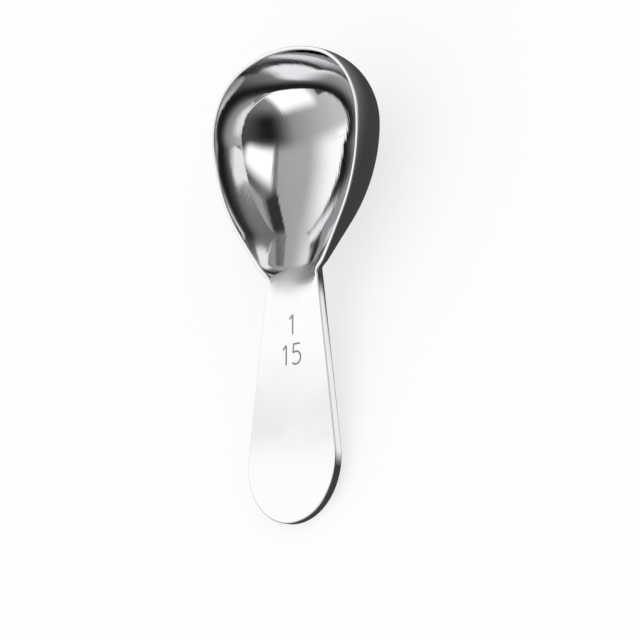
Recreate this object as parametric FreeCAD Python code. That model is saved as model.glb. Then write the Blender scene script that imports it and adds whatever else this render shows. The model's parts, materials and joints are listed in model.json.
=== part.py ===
import FreeCAD, Part
import math
import os

# A 15 ml measuring spoon, pressed from one stainless steel blank and lying as it rests on a table.
# Lengths are in millimetres and angles in degrees.

# Whole spoon
overall_length = 96.0  # bowl tip to handle end, along the rim plane

# Bowl: an egg, flattened in depth, leaning nose down and cut off level at the rim
bowl_width = 42.0  # outside, at the widest section
bowl_depth = 17.67  # outside, from the egg's axis down
bowl_pitch = 6.2  # how far the egg's axis leans nose down
rim_wall = 0.8  # sheet left at the rim
floor_wall = 1.0  # sheet left at the deepest point
tip_radius = 33.0  # blunt front end
shoulder_radius = 15.3  # between the front end and the widest section
flank_radius = 36.0  # from the widest section backwards
flank_angle = 32.6  # straight flank to the centre line
toe_radius = 12.7  # small rear end, at the handle

# Handle: a flat strip, bent up at the throat, that widens to a round end
handle_thickness = 1.81
handle_end_width = 24.8
handle_rise = 5.0  # bend up from the rim plane
throat_width = 14.14  # at the throat line, where the handle leaves the rim and bends up
neck_length = 6.0  # thick strip behind the throat line that stays with the bowl

# Blends between bowl and handle
toe_run_out = 2.0  # soft slope behind the hollow's rear end
toe_slope = 30.0  # steepness of that slope
neck_blend = 1.2  # hollow corner round the neck, at its sides and under it

Vector = FreeCAD.Vector
ORIGIN = Vector(0, 0, 0)
X_AXIS = Vector(1, 0, 0)
Y_AXIS = Vector(0, 1, 0)
halvings = 50  # steps in the search for a place on the rim, far finer than any drawing

pitch = math.radians(bowl_pitch)
flank_lean = math.radians(flank_angle)
rise = math.radians(handle_rise)


def on_circle(centre_y, centre_w, radius, angle):
    """Point of an outline circle; w is the distance from the egg's axis, drawn upwards."""
    return Vector(0, centre_y + radius * math.sin(angle), centre_w + radius * math.cos(angle))


def arc(centre_y, centre_w, radius, start, end):
    angles = (start, (start + end) / 2, end)
    return Part.Arc(*[on_circle(centre_y, centre_w, radius, angle) for angle in angles]).toShape()


class Egg:
    """Half outline of an egg about the Y axis: tip, shoulder and flank arcs, a straight flank, a toe arc."""

    def __init__(self, inset, depth):
        self.half_width = bowl_width / 2 - inset
        self.tip = tip_radius - inset
        self.shoulder = shoulder_radius - inset
        self.flank = flank_radius - inset
        self.toe = toe_radius - inset
        self.squash = depth / self.half_width
        self.lean = math.tan(pitch) / self.squash
        self.tip_y = -math.sqrt((self.tip - self.shoulder) ** 2 - (self.half_width - self.shoulder) ** 2)
        self.join = math.atan2(-self.tip_y, self.half_width - self.shoulder)
        self.flank_end = on_circle(0, self.half_width - self.flank, self.flank, -flank_lean)
        drop = self.toe - self.flank_end.z * math.cos(flank_lean)
        self.toe_y = self.flank_end.y + drop / math.sin(flank_lean)
        self.toe_start = on_circle(self.toe_y, 0, self.toe, -flank_lean)

    def solid(self):
        """The whole egg, flattened to its depth and leaning nose down."""
        quarter = math.pi / 2
        edges = [
            arc(self.tip_y, 0, self.tip, quarter, self.join),
            arc(0, self.half_width - self.shoulder, self.shoulder, self.join, 0),
            arc(0, self.half_width - self.flank, self.flank, 0, -flank_lean),
            Part.makeLine(self.flank_end, self.toe_start),
            arc(self.toe_y, 0, self.toe, -flank_lean, -quarter),
            Part.makeLine(Vector(0, self.toe_y - self.toe, 0), Vector(0, self.tip_y + self.tip, 0)),
        ]
        body = Part.Face(Part.Wire(edges)).revolve(ORIGIN, Y_AXIS, 360)
        flatten = FreeCAD.Matrix()
        flatten.scale(1, 1, self.squash)
        body = body.transformGeometry(flatten)
        body.rotate(ORIGIN, X_AXIS, -bowl_pitch)
        return body

    def rim_half_width(self, reach):
        """Half width of the cut at the rim plane, at a distance behind the widest section."""
        along = -reach * math.cos(pitch)
        if along > self.flank_end.y:
            around = self.half_width - self.flank + math.sqrt(self.flank**2 - along**2)
        elif along > self.toe_start.y:
            around = self.toe_start.z + (along - self.toe_start.y) * math.tan(flank_lean)
        else:
            around = math.sqrt(self.toe**2 - (along - self.toe_y) ** 2)
        return math.sqrt(around**2 - (along * self.lean) ** 2)

    def rim_reach(self, half_width):
        """Distance behind the widest section at which the cut has narrowed to a half width."""
        near = 0
        far = -self.rim_end(self.toe_y, self.toe, -1)
        for _ in range(halvings):
            middle = (near + far) / 2
            if self.rim_half_width(middle) > half_width:
                near = middle
            else:
                far = middle
        return near

    def rim_end(self, centre, radius, towards):
        """Front (towards 1) or rear (towards -1) end of the cut at the rim plane."""
        stretch = 1 + self.lean**2
        root = math.sqrt(radius**2 * stretch - (centre * self.lean) ** 2)
        return (centre + towards * root) / stretch / math.cos(pitch)


skin = Egg(0, bowl_depth)
hollow = Egg(rim_wall, bowl_depth - floor_wall)

# The handle is drawn flat, with its length along -Y from the throat line, and then bent up.
rim_front = skin.rim_end(skin.tip_y, skin.tip, 1)
throat_half = throat_width / 2
throat_reach = skin.rim_reach(throat_half)
handle_length = (overall_length - rim_front - throat_reach) / math.cos(rise)
end_radius = handle_end_width / 2
end_centre = handle_length - end_radius
corner_to_centre = math.hypot(throat_half, end_centre)
side_angle = math.acos(end_radius / corner_to_centre) - math.atan2(end_centre, throat_half)
side_half = end_radius * math.cos(side_angle)
side_length = end_centre + end_radius * math.sin(side_angle)


def side_point(along):
    """Point of the right side, which runs straight from the throat to the round end."""
    return Vector(throat_half + (side_half - throat_half) * along / side_length, -along, 0)


def mirrored(point):
    return Vector(-point.x, point.y, point.z)


def bend_up(flat):
    """Turns a flat drawn shape about the throat line to the handle's rise, in place behind the bowl."""
    flat.rotate(ORIGIN, X_AXIS, -handle_rise)
    flat.translate(Vector(0, -throat_reach, 0))
    return flat


def strip(edges):
    """A closed flat outline thickened downwards."""
    return bend_up(Part.Face(Part.Wire(edges)).extrude(Vector(0, 0, -handle_thickness)))


def make_neck():
    """Start of the handle, carried forward through the bowl's wall by half its width."""
    front = side_point(-throat_half)
    rear = side_point(neck_length)
    corners = [front, rear, mirrored(rear), mirrored(front), front]
    return strip(Part.makePolygon(corners).Edges)


def make_handle():
    start = side_point(neck_length)
    end = side_point(side_length)
    edges = [
        Part.makeLine(mirrored(start), start),
        Part.makeLine(start, end),
        Part.Arc(end, Vector(0, -handle_length, 0), mirrored(end)).toShape(),
        Part.makeLine(mirrored(end), mirrored(start)),
    ]
    return strip(edges)


def make_toe_slope():
    """Ball that dishes the handle from the throat's inner corners to behind the hollow's rear end."""
    slope = math.radians(toe_slope)
    corner = hollow.rim_half_width(throat_reach)
    hollow_rear = hollow.rim_end(hollow.toe_y, hollow.toe, -1)
    reach = toe_run_out - throat_reach - hollow_rear
    circle = (corner**2 + reach**2) / (2 * reach)
    centre = Vector(0, circle - reach, circle / math.tan(slope))
    return bend_up(Part.makeSphere(circle / math.sin(slope), centre))


def shared_edges(solid, first, second):
    """Edges of a solid whose middle lies on both of the given shapes."""
    touching = 0.001
    found = []
    for edge in solid.Edges:
        middle = Part.Vertex(edge.valueAt((edge.FirstParameter + edge.LastParameter) / 2))
        if max(middle.distToShape(first)[0], middle.distToShape(second)[0]) < touching:
            found.append(edge)
    return found


def level_off(shape):
    """Takes away everything above the rim plane."""
    corner = Vector(-overall_length, -overall_length, 0)
    return shape.cut(Part.makeBox(2 * overall_length, 2 * overall_length, overall_length, corner))


def make_bowl():
    outside = skin.solid()
    neck = make_neck()
    bowl = level_off(outside).fuse(neck)
    bowl = bowl.cut(hollow.solid()).cut(make_toe_slope())
    return bowl.makeFillet(neck_blend, shared_edges(bowl, neck.Shells[0], outside.Shells[0]))


def rest_tilt():
    """Angle that brings the handle's end and the bowl's underside down to one table.

    Seen from the side, the table is the line from the handle's lower end corner that just touches the
    flank arc. The touching point is found on the arc before it is flattened, where it is a circle.
    """
    end_y = -throat_reach - handle_length * math.cos(rise) - handle_thickness * math.sin(rise)
    end_z = handle_length * math.sin(rise) - handle_thickness * math.cos(rise)
    egg_y = end_y * math.cos(pitch) - end_z * math.sin(pitch)
    egg_z = (end_y * math.sin(pitch) + end_z * math.cos(pitch)) / skin.squash
    centre_z = skin.flank - skin.half_width
    distance = math.hypot(egg_y, centre_z - egg_z)
    bearing = math.atan2(centre_z - egg_z, -egg_y) - math.asin(skin.flank / distance)
    return math.degrees(pitch - math.atan(math.tan(bearing) * skin.squash))


def placed(point):
    """A point of the spoon held with its rim level, moved to where it lies on the table."""
    return FreeCAD.Rotation(X_AXIS, tilt).multVec(point) + to_table


def on_handle(along, depth):
    """A point on the handle's centre line, some way from the throat line and under the front face."""
    flat = FreeCAD.Rotation(X_AXIS, -handle_rise).multVec(Vector(0, -along, -depth))
    return placed(flat + Vector(0, -throat_reach, 0))


nodes = {"bowl": make_bowl(), "handle": make_handle()}
tilt = rest_tilt()
for shape in nodes.values():
    shape.rotate(ORIGIN, X_AXIS, tilt)
box = Part.makeCompound(list(nodes.values())).optimalBoundingBox(False, False)
to_table = Vector(0, -(box.YMin + box.YMax) / 2, -box.ZMin)

os.makedirs("parts", exist_ok=True)
for name, shape in nodes.items():
    shape.translate(to_table)
    shape.exportStep(f"parts/{name}.step")
    print(name, "valid", shape.isValid(), "solids", len(shape.Solids), "volume", round(shape.Volume, 2))

print("level full", round(level_off(hollow.solid()).Volume / 1000, 3), "ml")
print("lying tilt", round(tilt, 4), "moved by", to_table)
print("rim front", round(rim_front, 3), "throat reach", round(throat_reach, 3))
print("handle length", round(handle_length, 3))
print("box", [round(side, 3) for side in (box.XLength, box.YLength, box.ZLength)])
print("widest section at the rim", placed(ORIGIN), "rim tip", placed(Vector(0, rim_front, 0)))
print("end circle's centre on the front", on_handle(end_centre, 0))
print("end circle's centre on the back", on_handle(end_centre, handle_thickness))
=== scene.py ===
# %% [markdown]
# # A measuring spoon in polished stainless steel
#
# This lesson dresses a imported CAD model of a 15 ml measuring spoon for a render. The real spoon is one
# blank of stainless steel: its bowl is pressed, its handle stays flat, and the whole of it is polished.
# The box of the CAD model is kept, so that the last step can compare it with what the eye gets.

# %% Load the frame
import json
import math

import bpy
import numpy as np
from mathutils import Matrix, Quaternion, Vector


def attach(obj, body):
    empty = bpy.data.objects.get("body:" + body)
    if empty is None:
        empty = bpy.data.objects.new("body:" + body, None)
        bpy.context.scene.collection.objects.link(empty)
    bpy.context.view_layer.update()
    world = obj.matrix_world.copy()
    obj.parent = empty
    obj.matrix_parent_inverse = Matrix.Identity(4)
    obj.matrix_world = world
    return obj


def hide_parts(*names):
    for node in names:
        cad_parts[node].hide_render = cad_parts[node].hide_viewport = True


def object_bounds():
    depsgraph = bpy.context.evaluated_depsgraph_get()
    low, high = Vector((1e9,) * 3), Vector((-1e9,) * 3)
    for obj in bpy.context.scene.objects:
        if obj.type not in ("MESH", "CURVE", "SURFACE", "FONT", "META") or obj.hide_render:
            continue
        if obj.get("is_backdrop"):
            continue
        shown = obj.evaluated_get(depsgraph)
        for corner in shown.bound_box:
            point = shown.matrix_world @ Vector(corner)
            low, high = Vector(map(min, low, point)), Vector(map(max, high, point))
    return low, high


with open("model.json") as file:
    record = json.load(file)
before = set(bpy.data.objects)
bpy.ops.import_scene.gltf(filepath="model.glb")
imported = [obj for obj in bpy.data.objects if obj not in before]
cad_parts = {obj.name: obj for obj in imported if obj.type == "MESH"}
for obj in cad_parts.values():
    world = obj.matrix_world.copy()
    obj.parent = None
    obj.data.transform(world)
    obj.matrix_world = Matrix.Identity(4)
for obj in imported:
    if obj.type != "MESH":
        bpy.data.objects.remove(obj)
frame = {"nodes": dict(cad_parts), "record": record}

cad_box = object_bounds()
print("CAD nodes:", sorted(frame["nodes"]))
print("CAD box in mm:", [round(1000 * side, 2) for side in cad_box[1] - cad_box[0]])

# %% [markdown]
# ## Where the spoon lies
#
# A spoon is easiest to draw with its rim level, but it lies tipped back on the table. The record gives
# three flat faces with their places and directions, so the tipped rim and the bend of the handle are read
# from there instead of being measured again. Drawing is done in millimetres in the rim's own axes: x across
# the bowl, y towards its tip, z out of its mouth, from the middle of the widest section.

# %% The rim's axes
mm = 0.001
mounts = {mount["name"]: mount for mount in frame["record"]["mounts"]}
across = Vector((1, 0, 0))
rim_up = Vector(mounts["rim"]["axis"]).normalized()
rim_forward = rim_up.cross(across)
rim_middle = Vector((0, *mounts["rim"]["pos_m"][1:]))
rim_axes = Matrix((across, rim_forward, rim_up)).transposed()


def on_table(points):
    """Moves points drawn in the rim's axes, in millimetres, to where they lie, in metres."""
    return points @ np.array(rim_axes).T * mm + np.array(rim_middle)


handle_face = mounts["handle_front"]
handle_up = rim_axes.transposed() @ Vector(handle_face["axis"])
handle_spot = rim_axes.transposed() @ (Vector(handle_face["pos_m"]) - rim_middle) / mm
rise = math.atan2(handle_up.y, handle_up.z)
throat_reach = -handle_spot.y - handle_spot.z / math.tan(rise)
print(f"handle rises {math.degrees(rise):.2f} degrees from the rim")
print(f"throat {throat_reach:.2f} mm behind the widest section")

# %% [markdown]
# ## The egg
#
# The bowl is an egg, flattened and leaning nose down, and cut off at the rim. Its half outline is a tip arc,
# a shoulder arc, a flank arc, a straight flank and a toe arc, in the sizes of the CAD model. It could be
# lofted from a few sketched curves, but arcs keep the curvature steady, and a mirror shows where it isn't.
# The hollow is a second egg inside the first, a little nearer to it at the rim than at the floor.

# %% The egg's outline
bowl_width = 42.0
bowl_depth = 17.67
rim_wall = 0.8
floor_wall = 1.0
tip_radius = 33.0
shoulder_radius = 15.3
flank_radius = 36.0
flank_lean = math.radians(32.6)
toe_radius = 12.7
least_square = 1.0  # keeps an arc's root real where another arc takes over


class Egg:
    def __init__(self, inset, depth):
        self.half_width = bowl_width / 2 - inset
        self.tip = tip_radius - inset
        self.shoulder = shoulder_radius - inset
        self.flank = flank_radius - inset
        self.toe = toe_radius - inset
        self.squash = depth / self.half_width
        shoulder_out = self.half_width - self.shoulder
        self.tip_y = -math.sqrt((self.tip - self.shoulder) ** 2 - shoulder_out**2)
        self.tip_start = self.shoulder * math.sin(math.atan2(-self.tip_y, shoulder_out))
        self.flank_end = -self.flank * math.sin(flank_lean)
        flank_end_half = self.half_width - self.flank * (1 - math.cos(flank_lean))
        toe_drop = self.toe - flank_end_half * math.cos(flank_lean)
        self.toe_y = self.flank_end + toe_drop / math.sin(flank_lean)
        self.toe_start = self.toe_y - self.toe * math.sin(flank_lean)

    def outline(self, y):
        """The egg's half width along its axis, and that half width times its slope."""
        tip_half = np.sqrt(np.maximum(self.tip**2 - (y - self.tip_y) ** 2, 0))
        toe_half = np.sqrt(np.maximum(self.toe**2 - (y - self.toe_y) ** 2, 0))
        shoulder_bulge = np.sqrt(np.maximum(self.shoulder**2 - y**2, least_square))
        flank_bulge = np.sqrt(np.maximum(self.flank**2 - y**2, least_square))
        shoulder_half = self.half_width - self.shoulder + shoulder_bulge
        flank_half = self.half_width - self.flank + flank_bulge
        straight_half = self.toe * math.cos(flank_lean) + (y - self.toe_start) * math.tan(flank_lean)
        spans = [y > self.tip_start, y > 0, y > self.flank_end, y > self.toe_start]
        halves = [tip_half, shoulder_half, flank_half, straight_half]
        slopes = [
            self.tip_y - y,
            -shoulder_half * y / shoulder_bulge,
            -flank_half * y / flank_bulge,
            straight_half * math.tan(flank_lean),
        ]
        return np.select(spans, halves, toe_half), np.select(spans, slopes, self.toe_y - y)


outside = Egg(0, bowl_depth)
hollow = Egg(rim_wall, bowl_depth - floor_wall)
print(f"egg {2 * outside.half_width:.1f} mm wide")
print(f"steel {rim_wall} mm thick at the rim and {floor_wall} mm at the floor")

# %% [markdown]
# ## The egg's skin
#
# Polished steel shows every dent, so the skin is not subdivided from a rough cage: each point is worked out
# on the egg itself, and so is its normal. A point is found by its turn around the egg's middle and its dip
# below the egg's widest ring. Where a spoke crosses an outline or a face is found by halving.

# %% Points on the skin
bowl_pitch = math.radians(6.2)
egg_middle = -4.0  # where the spokes of the mesh start, along the egg's axis
farthest = 60.0  # no spoke of the egg is this long
halvings = 60  # steps of a search by halves
highest_dip = -0.6  # in radians: spokes meet the rim and the handle's faces between these two
deepest_dip = 1.2
dip_step = 1e-4


def unit(vectors):
    return vectors / np.linalg.norm(vectors, axis=-1, keepdims=True)


def lean(vectors):
    """Turns vectors from the egg's axes to the rim's axes."""
    x, y, z = np.moveaxis(vectors, -1, 0)
    c, s = math.cos(bowl_pitch), math.sin(bowl_pitch)
    return np.stack([x, y * c + z * s, z * c - y * s], -1)


def search(inside, low, high):
    """Finds, for each spoke, where a test stops being true between two ends."""
    for _ in range(halvings):
        middle = (low + high) / 2
        held = inside(middle)
        low = np.where(held, middle, low)
        high = np.where(held, high, middle)
    return low


def skin(egg, turn, dip):
    """Points of an egg's skin and their normals, in the rim's axes."""

    def within(reach):
        return egg.outline(egg_middle + reach * np.cos(turn))[0] > np.abs(reach * np.sin(turn))

    ring = search(within, np.zeros_like(turn), np.full_like(turn, farthest))
    x = ring * np.cos(dip) * np.sin(turn)
    y = egg_middle + ring * np.cos(dip) * np.cos(turn)
    half, slope = egg.outline(y)
    z = -np.sign(dip) * egg.squash * np.sqrt(np.maximum(half**2 - x**2, 0))
    normal = np.stack([x, -slope, z / egg.squash**2], -1)
    return lean(np.stack([x, y, z], -1)), unit(lean(normal))


pole_turn = np.array([0.0])
pole_dip = np.array([math.pi / 2])
floor_pole, floor_normal = skin(hollow, pole_turn, pole_dip)
low_pole, low_pole_normal = skin(outside, pole_turn, pole_dip)
print(f"floor {-floor_pole[0, 2]:.2f} mm and underside {-low_pole[0, 2]:.2f} mm below the rim")

# %% [markdown]
# ## The bend at the throat
#
# Seen from the side, the blank is level along the rim and bends up at the throat into the flat handle. A
# press never leaves a knife-sharp bend, so the front face eases into its slope. Each face is given as its
# height along y, which lets the egg's spokes be cut off at it.

# %% Front and back of the handle
handle_thickness = 1.81
throat_ease = 0.6  # softens the bend from rim to handle


def front(y):
    """Height of the rim and of the handle's front face along y."""
    past = -y - throat_reach
    return math.tan(rise) * (past + np.hypot(past, throat_ease)) / 2


def front_normal(y):
    past = -y - throat_reach
    slope = math.tan(rise) * (1 + past / np.hypot(past, throat_ease)) / 2
    return unit(np.stack([0 * y, slope, 1 + 0 * y], -1))


def back(y):
    """Height of the handle's back face along y."""
    return math.tan(rise) * (-y - throat_reach) - handle_thickness / math.cos(rise)


def on_front(plan):
    """Lifts points given by x and y onto the rim or the handle's front."""
    return np.concatenate([plan, front(plan[..., 1])[..., None]], -1)


def way_up(egg, turn, dip):
    """How far a point climbs the skin for a unit of dip, as a vector."""
    return (skin(egg, turn, dip - dip_step)[0] - skin(egg, turn, dip + dip_step)[0]) / (2 * dip_step)


def meets(egg, turn, height):
    """The dip at which the skin goes below a surface, given as heights along y."""

    def above(dip):
        points = skin(egg, turn, dip)[0]
        return points[..., 2] > height(points[..., 1])

    return search(above, np.full_like(turn, highest_dip), np.full_like(turn, deepest_dip))


print(f"at the throat: front {front(-throat_reach):.3f} mm, back {back(-throat_reach):.3f} mm high")

# %% [markdown]
# ## The rim and the handle's side
#
# Seen from above, the blank's edge follows the bowl's rim to the throat and then runs down the handle's
# straight side into its round end. The rim is walked in fine steps first, so that its points can be spaced
# by length. Only the right half is drawn, and the left one mirrors it.

# %% Rim and side
overall_length = 96.0
throat_width = 14.14
handle_end_width = 24.8
fine_steps = 6000
fine_stop = 0.95 * math.pi  # past the throat

fine_turn = np.linspace(0, fine_stop, fine_steps)
fine_rim = skin(outside, fine_turn, meets(outside, fine_turn, front))[0]
fine_length = np.concatenate([[0], np.cumsum(np.linalg.norm(np.diff(fine_rim, axis=0), axis=1))])
handle_length = (overall_length - fine_rim[0, 1] - throat_reach) / math.cos(rise)
end_radius = handle_end_width / 2
end_centre = handle_length - end_radius
throat_half = throat_width / 2
throat_to_centre = math.hypot(throat_half, end_centre)
side_angle = math.acos(end_radius / throat_to_centre) - math.atan2(end_centre, throat_half)
side_length = end_centre + end_radius * math.sin(side_angle)
side_spread = (end_radius * math.cos(side_angle) - throat_half) / side_length
side_out = unit(np.array([math.cos(rise), side_spread]))


def side_at(along):
    """Point of the handle's side, by its distance from the throat line."""
    along = np.asarray(along, float)
    return np.stack([throat_half + side_spread * along, -throat_reach - along * math.cos(rise)], -1)


print(f"handle {handle_length:.2f} mm long, end radius {end_radius} mm")

# %% [markdown]
# ## The corner at the throat
#
# The die that cuts the blank has no sharp inner corners, so the rim runs into the handle's side through a
# small hollow arc. A fillet tool would want the finished mesh. Here the arc is drawn into the outline, at
# the one place where it touches both the rim and the side.

# %% Corner
throat_corner = 1.2  # radius
corner_limit = 3 * throat_corner  # it ends nearer to the throat line than this
corner_points = 10


def cuts_rim(along):
    """Whether a corner that touches the side here still reaches into the rim."""
    centre = side_at(along) + throat_corner * side_out
    return np.linalg.norm(fine_rim[:, :2] - centre, axis=1).min() < throat_corner


corner_along = float(search(cuts_rim, np.array(0.0), np.array(corner_limit)))
corner_centre = side_at(corner_along) + throat_corner * side_out
corner_start = int(np.linalg.norm(fine_rim[:, :2] - corner_centre, axis=1).argmin())
corner_length = fine_length[corner_start]
start_angle, stop_angle = (
    math.atan2(*(point - corner_centre)[::-1]) % (2 * math.pi)
    for point in (fine_rim[corner_start, :2], side_at(corner_along))
)
corner_angle = np.linspace(start_angle, stop_angle, corner_points + 1)[1:]
corner_edge = corner_centre + throat_corner * np.stack([np.cos(corner_angle), np.sin(corner_angle)], -1)
print(f"corner {corner_length:.2f} mm along the rim, ends {corner_along:.2f} mm down the handle")

# %% [markdown]
# ## The whole edge
#
# The rim, the corner, the straight side and the round end are joined to one line of points, each with its
# direction outwards. The mesh gets one spoke for each point, closer together where the edge turns.

# %% The edge of the blank
edge_spacing = 0.42  # along the bowl's rim
side_points = 26
end_points = 40

rim_points = round(corner_length / edge_spacing)
rim_turn = np.interp(np.linspace(0, corner_length, rim_points + 1), fine_length, fine_turn)
rim_edge, rim_normal = skin(outside, rim_turn, meets(outside, rim_turn, front))
straight_edge = side_at(np.linspace(corner_along, side_length, side_points + 1)[1:])
end_angle = np.linspace(side_angle, math.pi / 2, end_points + 1)[1:]
end_along = end_centre + end_radius * np.sin(end_angle)
end_edge = np.stack([end_radius * np.cos(end_angle), -throat_reach - end_along * math.cos(rise)], -1)
end_edge[-1, 0] = 0

edge = on_front(np.concatenate([rim_edge[:, :2], corner_edge, straight_edge, end_edge]))
edge_out = np.concatenate(
    [
        unit(rim_normal[:, :2]),
        (corner_centre - corner_edge) / throat_corner,
        np.tile(side_out, (side_points, 1)),
        np.stack([np.cos(end_angle), -np.sin(end_angle)], -1),
    ]
)
edge_out[[0, -1], 0] = 0
edge_length = np.concatenate([[0], np.cumsum(np.linalg.norm(np.diff(edge, axis=0), axis=1))])
print(f"edge of the right half: {len(edge)} points over {edge_length[-1]:.1f} mm")

# %% [markdown]
# ## The spokes
#
# The blank is one closed skin with no seam: from the floor of the hollow up the wall, over the rim, across
# the handle's front, round its edge, back under the handle and down the outside of the bowl. All spokes have
# the same number of points, so the skin is a plain grid of four-sided faces. Behind the throat the handle's
# side runs almost along the spokes, and they would cross in the hollow corner, so inside the bowl they are
# turned a little further towards the toe.

# %% Spokes
spoke_lead = math.radians(1.5)  # at the throat, spokes in the bowl run this far ahead of the edge's
lead_run = 2.0  # length of rim over which they get ahead


def ease(share):
    """Goes from 0 to 1 with a soft start and end."""
    share = np.clip(share, 0, 1)
    return share * share * (3 - 2 * share)


edge_y_in_egg = edge[:, 1] * math.cos(bowl_pitch) - edge[:, 2] * math.sin(bowl_pitch)
turn = np.arctan2(edge[:, 0], edge_y_in_egg - egg_middle)
lead = spoke_lead * ease((edge_length - corner_length + lead_run) / lead_run)
bowl_turn = turn + lead * (math.pi - turn) / (math.pi - turn[rim_points])
print(f"{len(turn)} spokes, from {math.degrees(turn[0]):.1f} to {math.degrees(turn[-1]):.1f} degrees")

# %% [markdown]
# ## The hollow
#
# The punch leaves a wide soft shoulder where the hollow runs out onto the handle, and tumbling rounds the
# rim's inner edge everywhere else. The hollow's rings climb from the floor to where that rounding starts.

# %% Hollow
edge_round = 0.28  # tumbled edges
toe_shoulder = 4.6  # soft shoulder between hollow and handle, down the hollow's wall on the centre line
shoulder_full = math.radians(10)  # spokes this near the centre line have the whole shoulder
shoulder_none = math.radians(17)  # and from here on, only the tumbled edge
hollow_rings = 64

from_axis = math.pi - bowl_turn
toe_share = ease((shoulder_none - from_axis) / (shoulder_none - shoulder_full))
shoulder = edge_round + (toe_shoulder - edge_round) * toe_share
hollow_edge = meets(hollow, bowl_turn, front)
climb = way_up(hollow, bowl_turn, hollow_edge)
wall_dip = hollow_edge + shoulder / np.linalg.norm(climb, axis=1)
ring_shares = np.linspace(0, 1, hollow_rings + 1)[1:, None]
ring_dip = math.pi / 2 + (wall_dip - math.pi / 2) * ring_shares
hollow_points, hollow_normals = skin(hollow, np.broadcast_to(bowl_turn, ring_dip.shape), ring_dip)
hollow_normals = -hollow_normals
print(f"hollow: {hollow_rings} rings, edge dips {hollow_edge.min():.3f} to {hollow_edge.max():.3f}")

# %% [markdown]
# ## The lip and the front
#
# Each rounding is a short curve between two tangents that meet at a corner, so reflections run over it
# without a break. A bevel modifier would round all edges alike, and here the width changes along the edge.
# Past the lip, the rim and the handle's front are one face.

# %% Lip and front
toe_run = 3.0  # the toe's shoulder reaches this far along the handle
lip_share = 0.6  # and no lip takes more than this share of the face
shoulder_steps = 9
front_shares = np.array([0.0, 0.2, 0.5, 0.8, 1.0])
corner_tries = 6
height_step = 1e-3


def round_over(start, start_normal, corner, stop, stop_normal, steps):
    """Points between two tangents that meet at a corner, with their normals, without the two ends."""
    share = (np.arange(1, steps + 1) / (steps + 1))[:, None, None]
    points = (1 - share) ** 2 * start + 2 * share * (1 - share) * corner + share**2 * stop
    way = (1 - share) * (corner - start) + share * (stop - corner)
    start_side = unit(np.cross(corner - start, start_normal))
    stop_side = unit(np.cross(stop - corner, stop_normal))
    return points, unit(np.cross((1 - share) * start_side + share * stop_side, way))


def tangent_corner(point, way, height):
    """Where a tangent line meets a surface given as heights along y."""
    reach = np.zeros(len(point))
    for _ in range(corner_tries):
        spot = point + reach[:, None] * way
        climbed = height(spot[:, 1] + height_step) - height(spot[:, 1] - height_step)
        slope = climbed / (2 * height_step)
        reach -= (spot[:, 2] - height(spot[:, 1])) / (way[:, 2] - slope * way[:, 1])
    return point + reach[:, None] * way


wall_top = hollow_points[-1]
lip = tangent_corner(wall_top, unit(way_up(hollow, bowl_turn, wall_dip)), front)
rim_inset = edge[:, :2] - edge_round * edge_out
lip_room = np.linalg.norm(rim_inset - lip[:, :2], axis=1)
lip_run = np.minimum(np.linalg.norm(lip - wall_top, axis=1), np.minimum(lip_share * lip_room, toe_run))
lip_plan = lip[:, :2] + lip_run[:, None] * (rim_inset - lip[:, :2]) / lip_room[:, None]
front_plan = lip_plan + front_shares[:, None, None] * (rim_inset - lip_plan)
front_points = on_front(front_plan)
front_normals = front_normal(front_plan[..., 1])
lip_points, lip_normals = round_over(
    wall_top, hollow_normals[-1], lip, front_points[0], front_normals[0], shoulder_steps
)
print(f"rim {lip_room.min():.2f} mm wide between its rounded edges, at the narrowest")

# %% [markdown]
# ## The bowl's wall under the rim
#
# Behind the rim the handle has a thick edge and an underside, and round the bowl there is only the wall. A
# grid needs as many rings on both, so the wall gets the handle's rings too, packed close under the rim.

# %% Wall under the rim
edge_steps = 4
neck_steps = 6
wall_depth = 3.2  # the rings reach this far down the wall
wall_crowding = 1.3  # and lie closer together near the rim
fall_rings = 2 + edge_steps + 2 + neck_steps + 1  # edge, rounding, underside, hollow curve, wall

outer_edge = meets(outside, turn, front)
outer_speed = np.linalg.norm(way_up(outside, turn, outer_edge), axis=1)
fall_shares = np.arange(fall_rings) / (fall_rings - 1)
fall = edge_round + (wall_depth - edge_round) * fall_shares**wall_crowding
fall_dip = outer_edge + fall[:, None] / outer_speed
fall_turn = turn + np.linspace(0, 1, fall_rings)[:, None] * (bowl_turn - turn)
fall_points, fall_normals = skin(outside, fall_turn, fall_dip)
print(f"{fall_rings} rings between {fall[0]:.2f} and {fall[-1]:.2f} mm under the rim")

# %% [markdown]
# ## The handle's edge and underside
#
# The handle keeps the thickness of the sheet that it was cut from. Its edge drops square to the front, turns
# under with the tumbled rounding, and the flat back runs forward until it meets the bowl in a hollow curve,
# because a press can't fold steel sharply.

# %% Edge and underside
neck_blend = 1.4  # hollow curve under the neck
neck_share = 0.5  # it takes no more than this share of the back
neck_run = 1.2  # length of rim over which the handle's thickness runs out into the bowl's wall

plate_up = np.array([0, math.sin(rise), math.cos(rise)])
edge_x, edge_y = edge_out.T
plate_out = np.stack([edge_x, edge_y * math.cos(rise), -edge_y * math.sin(rise)], -1)
corner_stop = edge_length[rim_points + corner_points]
plate_share = ease((edge_length - corner_length + neck_run) / (corner_stop - corner_length + neck_run))
plate = np.flatnonzero(plate_share > 0)

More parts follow.
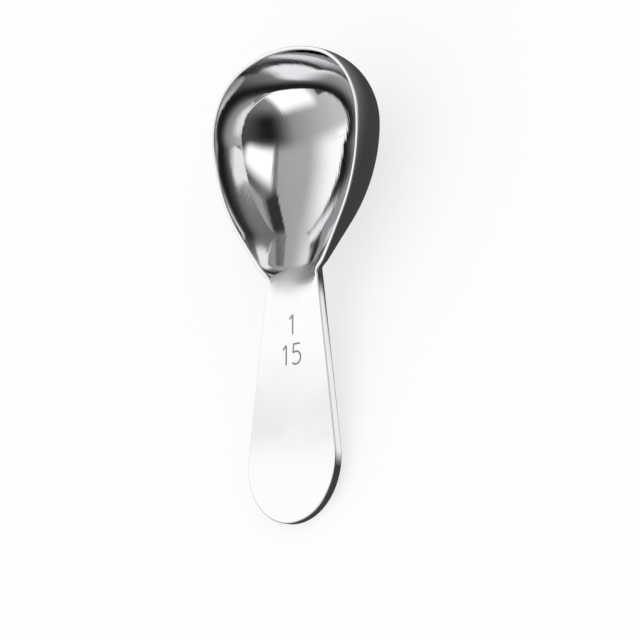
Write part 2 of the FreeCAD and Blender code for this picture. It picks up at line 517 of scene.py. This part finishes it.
plate_turn = bowl_turn[plate]
out = plate_out[plate]
under = np.broadcast_to(-plate_up, out.shape)
side_top = edge[plate] - edge_round * plate_up
side_foot = edge[plate] - (handle_thickness - edge_round) * plate_up
back_corner = edge[plate] - handle_thickness * plate_up
back_inset = back_corner - edge_round * out
foot_points, foot_normals = round_over(side_foot, out, back_corner, back_inset, under, edge_steps)
junction = meets(outside, plate_turn, back)
neck_dip = junction + neck_blend / np.linalg.norm(way_up(outside, plate_turn, junction), axis=1)
neck_start, neck_normal = skin(outside, plate_turn, neck_dip)
neck_corner = tangent_corner(neck_start, unit(way_up(outside, plate_turn, neck_dip)), back)
neck_room = np.linalg.norm(back_inset - neck_corner, axis=1, keepdims=True)
neck_reach = np.linalg.norm(neck_corner - neck_start, axis=1, keepdims=True)
neck_reach = np.minimum(neck_reach, neck_share * neck_room)
neck_stop = neck_corner + neck_reach * (back_inset - neck_corner) / neck_room
neck_points, neck_normals = round_over(neck_stop, under, neck_corner, neck_start, neck_normal, neck_steps)
print(f"underside on {len(plate)} spokes, hollow curve {neck_reach.max():.2f} mm along the back at most")

# %% [markdown]
# ## From the wall to the handle
#
# Just before the throat, the wall's rings swing over to the handle's edge and underside, so its thickness
# grows out of the bowl's wall without a step. Below them, the rest of the outside runs down to its pole.

# %% Outside of the bowl
outside_rings = 60

plate_points = np.concatenate(
    [[side_top, side_foot], foot_points, [back_inset, neck_stop], neck_points, [neck_start]]
)
plate_normals = np.concatenate([[out, out], foot_normals, [under, under], neck_normals, [neck_normal]])
share = plate_share[plate][:, None]
fall_points[:, plate] += share * (plate_points - fall_points[:, plate])
fall_normals[:, plate] = unit(fall_normals[:, plate] + share * (plate_normals - fall_normals[:, plate]))
low_dip = fall_dip[-1].copy()
low_dip[plate] += plate_share[plate] * (neck_dip - low_dip[plate])
fall_points[-1], fall_normals[-1] = skin(outside, bowl_turn, low_dip)
edge_points, edge_normals = round_over(
    front_points[-1], front_normals[-1], edge, fall_points[0], fall_normals[0], edge_steps
)
low_shares = np.linspace(0, 1, outside_rings + 1)[1:-1, None]
low_ring_dip = low_dip + (math.pi / 2 - low_dip) * low_shares
low_points, low_normals = skin(outside, np.broadcast_to(bowl_turn, low_ring_dip.shape), low_ring_dip)
mixed = np.flatnonzero((plate_share > 0) & (plate_share < 1))
print(f"handle's thickness runs out over {len(mixed)} spokes")

# %% [markdown]
# ## One closed mesh
#
# The rings are stacked in order, mirrored to the left half and closed with a fan at each pole. The mesh
# stands for both CAD nodes, because the real spoon has no joint between bowl and handle, and a seam in a
# mirror finish would show. Blender gets the worked-out normals too, so shading doesn't depend on the faces.

# %% Stack the rings into a mesh


def both_halves(right):
    left = right[:, -2:0:-1] * np.array([-1, 1, 1])
    return np.concatenate([right, left], axis=1)


def add_object(name, mesh):
    thing = bpy.data.objects.new(name, mesh)
    bpy.context.scene.collection.objects.link(thing)
    return thing


ring_points = both_halves(
    np.concatenate([hollow_points, lip_points, front_points, edge_points, fall_points, low_points])
)
ring_normals = both_halves(
    np.concatenate([hollow_normals, lip_normals, front_normals, edge_normals, fall_normals, low_normals])
)
rings, spokes = ring_points.shape[:2]
points = np.concatenate([floor_pole, ring_points.reshape(-1, 3), low_pole])
normals = np.concatenate([-floor_normal, ring_normals.reshape(-1, 3), low_pole_normal])

number = 1 + np.arange(rings * spokes).reshape(rings, spokes)
following = np.roll(number, -1, axis=1)
quads = np.stack([number[:-1], following[:-1], following[1:], number[1:]], -1).reshape(-1, 4)
top_fan = [(0, int(b), int(a)) for a, b in zip(number[0], following[0])]
low_fan = [(int(a), int(b), len(points) - 1) for a, b in zip(number[-1], following[-1])]

spoon_mesh = bpy.data.meshes.new("pressed_spoon")
spoon_mesh.from_pydata(on_table(points).tolist(), [], top_fan + quads.tolist() + low_fan)
spoon_mesh.polygons.foreach_set("use_smooth", np.ones(len(spoon_mesh.polygons), bool))
spoon_mesh.normals_split_custom_set_from_vertices((normals @ np.array(rim_axes).T).tolist())
spoon = add_object("pressed_spoon", spoon_mesh)
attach(spoon, "root")
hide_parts("bowl", "handle")
print(f"skin: {rings} rings of {spokes} points, {len(spoon_mesh.polygons)} faces")

# %% [markdown]
# ## Where the polish is duller
#
# A buffing wheel doesn't reach everywhere. The tumbled edges stay a little duller than the faces, and the
# tight toe keeps the satin of the press. The mesh carries this as a number for each point, which the
# material adds to its roughness. A painted mask would need a flat map of the bowl.

# %% Dullness of the skin
edge_dullness = 0.1  # on the tumbled edges
toe_dullness = 0.3  # at the toe
satin_rings = 12  # the satin fades in over these rings of the hollow

dullness = np.zeros((rings, len(turn)))
edge_ring = len(hollow_points) + len(lip_points) + len(front_points)
dullness[edge_ring : edge_ring + edge_steps] = edge_dullness
satin = toe_dullness * toe_share
satin_start = hollow_rings - satin_rings
dullness[satin_start:hollow_rings] = ease(np.arange(satin_rings) / satin_rings)[:, None] * satin
satin_stop = hollow_rings + shoulder_steps
dullness[hollow_rings:satin_stop] = np.linspace(1, 0, shoulder_steps)[:, None] * satin
on_rings = np.concatenate([dullness, dullness[:, -2:0:-1]], axis=1).ravel()
on_points = np.concatenate([[0], on_rings, [0]]).astype(np.float32)
spoon_mesh.attributes.new("dullness", "FLOAT", "POINT").data.foreach_set("value", on_points)
print(f"dullness from {on_points.min():.2f} to {on_points.max():.2f}")

# %% [markdown]
# ## Helpers for materials
#
# Colours are given as sRGB hex codes, but Blender's sockets take linear values, so one function turns
# them. Another adds a node with its settings and links in one call, because a material is easier to
# read as a list of nodes than as a page of assignments. A third starts an empty material.

# %% Helpers for materials


def colour(code):
    """An sRGB hex colour as the linear values that Blender's sockets take."""
    parts = [int(code[i : i + 2], 16) / 255 for i in (1, 3, 5)]
    return (*[c / 12.92 if c <= 0.04045 else ((c + 0.055) / 1.055) ** 2.4 for c in parts], 1.0)


def add(tree, kind, settings, links):
    """Adds a node, sets its properties and sockets by name, and links its inputs to other outputs."""
    node = tree.nodes.new(kind)
    for name, value in settings.items():
        if isinstance(name, str) and hasattr(node, name):
            setattr(node, name, value)
        else:
            node.inputs[name].default_value = value
    for name, source in links.items():
        output = source if isinstance(source, bpy.types.NodeSocket) else source.outputs[0]
        tree.links.new(output, node.inputs[name])
    return node


def new_material(name):
    """An empty node material, its tree and its output node."""
    material = bpy.data.materials.new(name)
    material.use_nodes = True
    material.node_tree.nodes.clear()
    return material, material.node_tree, material.node_tree.nodes.new("ShaderNodeOutputMaterial")


print("steel white in linear values:", [round(c, 3) for c in colour("#E2E2E4")])

# %% [markdown]
# ## Polished stainless steel
#
# Kitchen steel is an iron alloy with about 18 % chromium. It reflects a little under 80 % of the light,
# almost without a tint. A buffing wheel polishes the pressed blank along its length, which leaves a mirror
# with faint lengthwise lines: they feather the edges of whatever the mirror shows. Wiping leaves weak cloudy
# marks. A picture of scratches would not fit a bowl, so the lines are noise in space, short across the spoon
# and long along it, in the rim's own axes.

# %% Steel
line_width = 0.4 * mm  # real polishing lines are about a tenth of this, and too fine to show
line_length = 11.0 * mm
line_climb = 4.0 * mm  # along the walls, where a line runs up
line_depth = 0.008 * mm
wipe_size = 8.0 * mm
clean_roughness = 0.035
wiped_roughness = 0.075

steel, tree, output = new_material("stainless_steel_mirror_polished")
place = add(tree, "ShaderNodeTexCoord", {}, {})
along_spoon = add(
    tree,
    "ShaderNodeMapping",
    {
        "vector_type": "TEXTURE",
        "Rotation": rim_axes.to_euler(),
        "Scale": (line_width, line_length, line_climb),
    },
    {"Vector": place.outputs["Object"]},
)
lines = add(
    tree,
    "ShaderNodeTexNoise",
    {"Scale": 1.0, "Detail": 2.0, "Roughness": 0.6},
    {"Vector": along_spoon},
)
wipes = add(
    tree,
    "ShaderNodeTexNoise",
    {"Scale": 1 / wipe_size, "Detail": 3.0, "Roughness": 0.55, "Distortion": 0.6},
    {"Vector": place.outputs["Object"]},
)
# Duller where wiped, on the tumbled edges and at the toe: the mirror softens there and stays as bright.
polish = add(
    tree,
    "ShaderNodeMapRange",
    {"From Min": 0.35, "From Max": 0.7, "To Min": clean_roughness, "To Max": wiped_roughness},
    {"Value": wipes.outputs["Fac"]},
)
dull = add(tree, "ShaderNodeAttribute", {"attribute_name": "dullness"}, {})
gloss = add(tree, "ShaderNodeMath", {"operation": "ADD"}, {0: dull.outputs["Fac"], 1: polish})
tint = add(
    tree,
    "ShaderNodeMix",
    {"data_type": "RGBA", 6: colour("#DEDEE0"), 7: colour("#E6E6E7")},
    {0: wipes.outputs["Fac"]},
)
scored = add(
    tree,
    "ShaderNodeBump",
    {"Strength": 1.0, "Distance": line_depth},
    {"Height": lines.outputs["Fac"]},
)
shader = add(
    tree,
    "ShaderNodeBsdfPrincipled",
    {"Metallic": 1.0},
    {"Base Color": tint.outputs[2], "Roughness": gloss, "Normal": scored},
)
tree.links.new(shader.outputs["BSDF"], output.inputs["Surface"])
spoon_mesh.materials.append(steel)
print(f"polishing lines {line_width / mm:.2f} mm wide and {line_length / mm:.0f} mm long")

# %% [markdown]
# ## The capacity mark
#
# A measuring spoon carries its capacity on the handle's front, etched by a laser. The mark here is plain
# numbers in thin strokes: one spoon, 15 millilitres. A text object would bring in a font, and single strokes
# look more like a laser's path. Each stroke starts as a ribbon: two rails beside a centre line, drawn
# together at both ends to round them off.

# %% Strokes of the mark
stroke_half = 0.19
cap_angles = np.linspace(0.35, math.pi / 2, 6)
number_height = 4.1
flag_end = (-0.95, 3.2)  # of the 1
stem_left = 0.3  # the top stroke of the 5 runs between these two
stem_right = 2.1
stem_foot = (0.114, 2.296)  # where the 5's stem meets its round
round_radius = 1.3
round_middle = 0.95
round_turn = np.radians(np.linspace(130, -140, 28))

one = [[flag_end, (0, number_height)], [(0, number_height), (0, 0)]]
five_round = [
    (round_middle + round_radius * math.cos(a), round_radius + round_radius * math.sin(a))
    for a in round_turn
]
five = [[(stem_right, number_height), (stem_left, number_height), stem_foot], five_round]


def ribbon(path):
    """Two rails beside a centre line, drawn together at both ends to round them off."""
    path = np.array(path, float)
    steps = np.linalg.norm(np.diff(path, axis=0), axis=1)
    length = np.concatenate([[0], np.cumsum(steps)])
    cap = stroke_half * (1 - np.cos(cap_angles))
    stops = np.unique(np.concatenate([cap, length[1:-1], length[-1] - cap]))
    middle = np.stack([np.interp(stops, length, path[:, i]) for i in (0, 1)], -1)
    ways = unit(np.diff(middle, axis=0))
    before = np.concatenate([ways[:1], ways])
    after = np.concatenate([ways, ways[-1:]])
    sideways = (before + after)[:, ::-1] * np.array([-1, 1]) / (1 + (before * after).sum(1))[:, None]
    from_end = np.minimum(np.minimum(stops, length[-1] - stops), stroke_half) / stroke_half
    half = stroke_half * np.sqrt(1 - (1 - from_end) ** 2)
    return np.stack([middle - half[:, None] * sideways, middle + half[:, None] * sideways], 1)


print(f"strokes {2 * stroke_half:.2f} mm wide, numbers {number_height} mm high")

# %% [markdown]
# ## The mark on the handle
#
# Etching takes no depth that could be seen, so each ribbon stands a hair proud of the steel and reaches a
# little into it, as a closed strip without a gap under it. Strokes that cross lie at two heights, so that
# they never fight for the same pixels.

# %% Mark
stroke_lift = 0.014
stroke_sink = 0.05
first_line = -42.1  # baselines, along y from the widest section
second_line = -48.1
# Each number with its place across the handle and its baseline.
numbers = [(one, 0.3, first_line), (one, -1.5, second_line), (five, 0.3, second_line)]

mark_points = []
mark_faces = []
for strokes, x, baseline in numbers:
    for layer, path in enumerate(strokes, 1):
        rails = on_front(ribbon(path) + np.array([x, baseline]))
        top = rails + layer * stroke_lift * plate_up
        foot = rails[:, ::-1] - stroke_sink * plate_up
        first = len(mark_points)
        mark_points.extend(on_table(np.concatenate([top, foot], 1).reshape(-1, 3)).tolist())
        last = len(mark_points) - 4
        for i in range(first, last, 4):
            for a, b in ((0, 1), (1, 2), (2, 3), (3, 0)):
                mark_faces.append((i + 4 + a, i + 4 + b, i + b, i + a))
        mark_faces.append((first, first + 1, first + 2, first + 3))
        mark_faces.append((last + 3, last + 2, last + 1, last))
mark_mesh = bpy.data.meshes.new("capacity_mark")
mark_mesh.from_pydata(mark_points, [], mark_faces)
mark = add_object("capacity_mark", mark_mesh)
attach(mark, "root")
print(f"mark: {len(numbers)} numbers, {len(mark_faces)} faces")

# %% [markdown]
# ## Etched steel
#
# A laser melts a thin skin of the steel and leaves it as a fine frost. It is still metal, so it keeps its
# grey, but its tiny pits scatter the light, and the mark stays grey where the polished face beside it
# flashes white.

# %% Etched steel
pit_size = 0.12 * mm  # the real pits are about 0.03 mm, and too fine to show
pit_depth = 0.01 * mm

etched, tree, output = new_material("stainless_steel_laser_etched")
place = add(tree, "ShaderNodeTexCoord", {}, {})
pits = add(
    tree,
    "ShaderNodeTexNoise",
    {"Scale": 1 / pit_size, "Detail": 1.0},
    {"Vector": place.outputs["Object"]},
)
frost = add(
    tree,
    "ShaderNodeMix",
    {"data_type": "RGBA", 6: colour("#8A8A8D"), 7: colour("#A6A6A9")},
    {0: pits.outputs["Fac"]},
)
pitted = add(
    tree,
    "ShaderNodeBump",
    {"Strength": 0.5, "Distance": pit_depth},
    {"Height": pits.outputs["Fac"]},
)
shader = add(
    tree,
    "ShaderNodeBsdfPrincipled",
    {"Metallic": 1.0, "Roughness": 0.5},
    {"Base Color": frost.outputs[2], "Normal": pitted},
)
tree.links.new(shader.outputs["BSDF"], output.inputs["Surface"])
mark_mesh.materials.append(etched)
print(f"etched pits drawn {pit_size / mm:.2f} mm wide")

# %% [markdown]
# ## The table
#
# The spoon lies on a plain table with matt white paint. Under even light a matt table is a little grey, and
# a product picture lifts it to white. Here most of what the camera and the mirror see of it is plain white
# of strength 1, and the rest is the paint with the spoon's own shadow. All other light meets real paint.

# %% Table
table_half = 2.0
shadow_share = 0.25

table_mesh = bpy.data.meshes.new("table")
table_corners = [(x * table_half, y * table_half, 0) for x, y in ((-1, -1), (1, -1), (1, 1), (-1, 1))]
table_mesh.from_pydata(table_corners, [], [(0, 1, 2, 3)])
add_object("table", table_mesh)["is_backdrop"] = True

paint, tree, output = new_material("matt_white_table_paint")
matt = add(tree, "ShaderNodeBsdfDiffuse", {"Color": colour("#FAFAFA")}, {})
white = add(tree, "ShaderNodeEmission", {"Strength": 1.0}, {})
ray = add(tree, "ShaderNodeLightPath", {}, {})
mirrored = add(
    tree,
    "ShaderNodeMath",
    {"operation": "ADD"},
    {0: ray.outputs["Is Glossy Ray"], 1: ray.outputs["Is Transmission Ray"]},
)
seen = add(
    tree,
    "ShaderNodeMath",
    {"operation": "ADD"},
    {0: ray.outputs["Is Camera Ray"], 1: mirrored},
)
lifted = add(tree, "ShaderNodeMath", {"operation": "MULTIPLY", 1: 1 - shadow_share}, {0: seen})
shown = add(tree, "ShaderNodeMixShader", {}, {0: lifted, 1: matt, 2: white})
tree.links.new(shown.outputs[0], output.inputs["Surface"])
table_mesh.materials.append(paint)
print(f"table {2 * table_half:.0f} m wide, {shadow_share:.0%} of its shading shows")

# %% [markdown]
# ## The studio's cards
#
# A mirror has no look of its own: it shows the studio. Photographers shape polished metal with large soft
# white boxes and with dark flags, and a spoon's bowl shows all of them at once, upside down. All of them
# share one paint that glows and covers as the points of a sheet say. They are there for the mirror alone:
# they light nothing else, so the table keeps its even light.

# %% Card paint
card_paint, tree, output = new_material("studio_card")
card_paint.cycles.emission_sampling = "NONE"
glow = add(tree, "ShaderNodeAttribute", {"attribute_name": "glow"}, {})
cover = add(tree, "ShaderNodeAttribute", {"attribute_name": "cover"}, {})
light = add(tree, "ShaderNodeEmission", {}, {"Strength": glow.outputs["Fac"]})
clear = add(tree, "ShaderNodeBsdfTransparent", {}, {})
sheet = add(tree, "ShaderNodeMixShader", {}, {0: cover.outputs["Fac"], 1: clear, 2: light})
tree.links.new(sheet.outputs[0], output.inputs["Surface"])


def hang(name, points, glow, cover):
    """A sheet in the studio, given as a grid of points, that only reflections see."""
    rows, columns = points.shape[:2]
    number = np.arange(rows * columns).reshape(rows, columns)
    faces = np.stack([number[:-1, :-1], number[:-1, 1:], number[1:, 1:], number[1:, :-1]], -1)
    mesh = bpy.data.meshes.new(name)
    mesh.from_pydata(points.reshape(-1, 3).tolist(), [], faces.reshape(-1, 4).tolist())
    for attribute, values in (("glow", glow), ("cover", cover)):
        values = np.broadcast_to(values, (rows, columns)).ravel().astype(np.float32)
        mesh.attributes.new(attribute, "FLOAT", "POINT").data.foreach_set("value", values)
    mesh.materials.append(card_paint)
    thing = add_object(name, mesh)
    thing.visible_camera = False
    thing.visible_diffuse = False
    thing.visible_shadow = False
    thing.visible_transmission = False
    thing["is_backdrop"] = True


print("card paint with", len(tree.nodes), "nodes")

# %% [markdown]
# ## The room and the white boxes
#
# The room is a grey ball around everything, lighter on the left. Each card is a patch of a smaller ball,
# between four corners. A corner is an azimuth, counted from +Y towards +X, an elevation above the table and
# a glow. Where a real card is out of focus or fades, its side is soft. Besides the boxes there are two grey
# sheets, the card that the flat handle shows, and a narrow veil for the faint band along the handle.

# %% The room and the white boxes
card_cells = 28
room_radius = 2.5
room_columns = 48
room_rows = 24
room_grey = 0.42
room_slant = 0.35  # how much darker it is straight to the right than in the middle


def towards(azimuth, elevation):
    """Directions from the spoon, for angles in degrees."""
    a, e = np.broadcast_arrays(np.radians(azimuth), np.radians(elevation))
    return np.stack([np.sin(a) * np.cos(e), np.cos(a) * np.cos(e), np.sin(e)], -1)


def hang_card(name, corners, distance, soft):
    """A card between four corners, with the share of it that is soft along each side."""
    u, v = np.meshgrid(*[np.linspace(0, 1, card_cells + 1)] * 2, indexing="ij")
    weights = np.stack([(1 - u) * (1 - v), u * (1 - v), u * v, (1 - u) * v], -1)
    corners = np.array(corners, float)
    directions = unit(weights @ towards(corners[:, 0], corners[:, 1]))
    sides = [ease(inner / width) for inner, width in zip((v, 1 - u, 1 - v, u), soft)]
    hang(name, distance * directions, weights @ corners[:, 2], np.prod(sides, axis=0))


room_azimuth = np.linspace(-180, 180, room_columns + 1)[:, None]
room_way = towards(room_azimuth, np.linspace(-90, 90, room_rows + 1))
hang("grey_studio_room", room_radius * room_way, room_grey - room_slant * room_way[..., 0], 1.0)

overhead = [(-117, 63, 0.55), (105, 59, 0.5), (9, 23, 0.4), (-28, 18, 0.5)]
hang_card("overhead_sheet", overhead, distance=2.2, soft=(0.3, 0.03, 0.25, 0.25))
left_box = [(-99, 3, 1.35), (-172, 76, 1.35), (-9, 29, 1.1), (-52, -7, 1.1)]
hang_card("left_soft_box", left_box, distance=2.1, soft=(0.34, 0.38, 0.5, 0.3))
handle_card = [(-101, 25, 1.28), (-107, 56, 1.28), (-42, 42, 1.28), (-61, 17, 1.28)]
hang_card("handle_card", handle_card, distance=2.05, soft=(0.25, 0.3, 0.45, 0.3))
handle_veil = [(-88.6, 30, 1.1), (-88.6, 60, 1.1), (-84.8, 60, 1.1), (-84.8, 30, 1.1)]
hang_card("handle_veil", handle_veil, distance=2.04, soft=(0.25, 0.1, 0.7, 0.1))
far_sheet = [(7, 24, 0.42), (42, 33, 0.42), (65, 10, 0.42), (55, 10, 0.42)]
hang_card("far_grey_sheet", far_sheet, distance=2.0, soft=(0.1, 0.2, 0.2, 0.2))
right_box = [(101, 57, 1.35), (96, 16, 1.35), (67, 8, 1.35), (35, 43, 1.35)]
hang_card("right_soft_box", right_box, distance=1.9, soft=(0.5, 0.3, 0.3, 0.06))
near_box = [(-157, -14, 1.35), (162, -11, 1.35), (151, 44, 1.35), (-144, 43, 1.35)]
hang_card("near_soft_box", near_box, distance=1.6, soft=(0.03, 0.2, 0.35, 0.2))
print("a room, three white boxes, two grey sheets, a handle card and a veil")

# %% [markdown]
# ## The dark flags
#
# Dark patches make polished steel look like steel. The largest flag hides the camera from the spoon, and two
# smaller ones draw the dark edges that the bowl shows at its far and near ends.

# %% The dark flags
far_flag = [(42, 52, 0.04), (43, 33, 0.04), (2, 20.5, 0.04), (-10, 27, 0.04)]
hang_card("far_flag", far_flag, distance=1.8, soft=(0.2, 0.3, 0.3, 0.1))
camera_flag = [(172, 30, 0.015), (133, -9, 0.02), (82, 15, 0.02), (18, 77, 0.015)]
hang_card("camera_flag", camera_flag, distance=1.7, soft=(0.4, 0.5, 0.36, 0.45))
near_flag = [(-143, 7, 0.06), (-152, 13, 0.06), (-149, 27, 0.06), (-136, 18, 0.06)]
hang_card("near_left_flag", near_flag, distance=1.5, soft=(0.3, 0.3, 0.3, 0.3))
print("three flags")

# %% [markdown]
# ## The mat and the paper strip
#
# A bowl on a white table would look white outside. A dark mat just around the spoon, seen by reflections
# alone, paints a dark grey reflection onto its outside, darkest right under the spoon as painted shade. A
# strip of white paper close to the handle's side keeps that thin edge light.

# %% Mat and strip
mat_radius = 0.4
mat_spokes = 72
mat_rings = 80
mat_lift = 0.2 * mm
mat_middle = (-40 * mm, 31 * mm)  # the darkest part runs under the spoon from here to there, along y
mat_dark_reach = 24 * mm
mat_fade = 26 * mm
mat_dark_glow = 0.06
mat_glow_gain = 0.14
mat_soft = 0.4  # share of the radius over which the mat runs out
strip_start = np.array([9.9, 2.3, 8.0]) * mm
strip_stop = np.array([14.0, -37.0, 1.6]) * mm
strip_lean = np.array([0.94, 0, 0.9]) * mm  # half of its width
strip_length_cells = 36
strip_width_cells = 8
strip_soft = {"start": 0.12, "stop": 0.1, "sides": 0.3}
strip_glow = 1.1

mat_turns = np.linspace(-180, 180, mat_spokes + 1)
mat_around, mat_reach = np.meshgrid(mat_turns, np.linspace(0, 1, mat_rings + 1), indexing="ij")
mat_points = mat_radius * mat_reach[..., None] * towards(mat_around, 0) + np.array([0, 0, mat_lift])
mat_beside = mat_points[..., 1] - np.clip(mat_points[..., 1], *mat_middle)
mat_from_spoon = np.hypot(mat_points[..., 0], mat_beside)
# Painted shade in the reflection: the mat's glow is lowest under the spoon and rises away from it.
mat_glow = mat_dark_glow + mat_glow_gain * ease((mat_from_spoon - mat_dark_reach) / mat_fade)
hang("dark_reflection_mat", mat_points, mat_glow, ease((1 - mat_reach) / mat_soft))

strip_shares = np.linspace(0, 1, strip_length_cells + 1)
along, beside = np.meshgrid(strip_shares, np.linspace(-1, 1, strip_width_cells + 1), indexing="ij")
strip_line = strip_start + along[..., None] * (strip_stop - strip_start)
strip_ends = ease(along / strip_soft["start"]) * ease((1 - along) / strip_soft["stop"])
strip_cover = strip_ends * ease((1 - np.abs(beside)) / strip_soft["sides"])
hang("white_paper_strip", strip_line + beside[..., None] * strip_lean, strip_glow, strip_cover)
print(f"mat {2 * mat_radius:.1f} m wide, strip {np.linalg.norm(strip_stop - strip_start) / mm:.0f} mm long")

# %% [markdown]
# ## Even light
#
# The room's own light is an even white from all sides, at strength 1, where a colour renders as it is
# written. It lights the table and gives the soft shadow under the spoon. A sun or a spot lamp would burn a
# hard shadow into a picture that has none.

# %% World
world = bpy.data.worlds.new("white_studio")
bpy.context.scene.world = world
world.use_nodes = True
background = world.node_tree.nodes["Background"]
background.inputs["Color"].default_value = (1, 1, 1, 1)
background.inputs["Strength"].default_value = 1.0
print("world strength", background.inputs["Strength"].default_value)

# %% [markdown]
# ## The camera
#
# The picture looks down on the spoon from its right side, with a long lens that keeps the bowl and the
# handle in proportion. The place, the aim and the roll come from fitting the spoon's outline to the picture.
# The roll is large because the spoon stands almost upright in the picture, and the camera is beside it.

# %% Camera
camera_place = Vector((0.46094, -0.21082, 0.43079))
camera_aim = Vector((-0.00115, -0.00404, 0.0))
camera_roll = math.radians(66.42)

camera = bpy.data.cameras.new("camera")
camera.lens = 185.6
camera.sensor_width = 36.0
camera_object = add_object("camera", camera)
look = (camera_aim - camera_place).normalized()
camera_object.rotation_mode = "QUATERNION"
camera_object.rotation_quaternion = Quaternion(look, camera_roll) @ look.to_track_quat("-Z", "Y")
camera_object.location = camera_place
bpy.context.scene.camera = camera_object
bpy.context.scene.view_settings.view_transform = "Standard"
print(f"camera {(camera_aim - camera_place).length:.3f} m from the spoon")

# %% [markdown]
# ## Size
#
# The skin must not change the spoon's size.

# %% Compare the boxes and finish
boxes = {"cad": cad_box, "visual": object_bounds()}
for name, box in boxes.items():
    print(name, "box in mm:", [round(1000 * side, 3) for side in box[1] - box[0]])
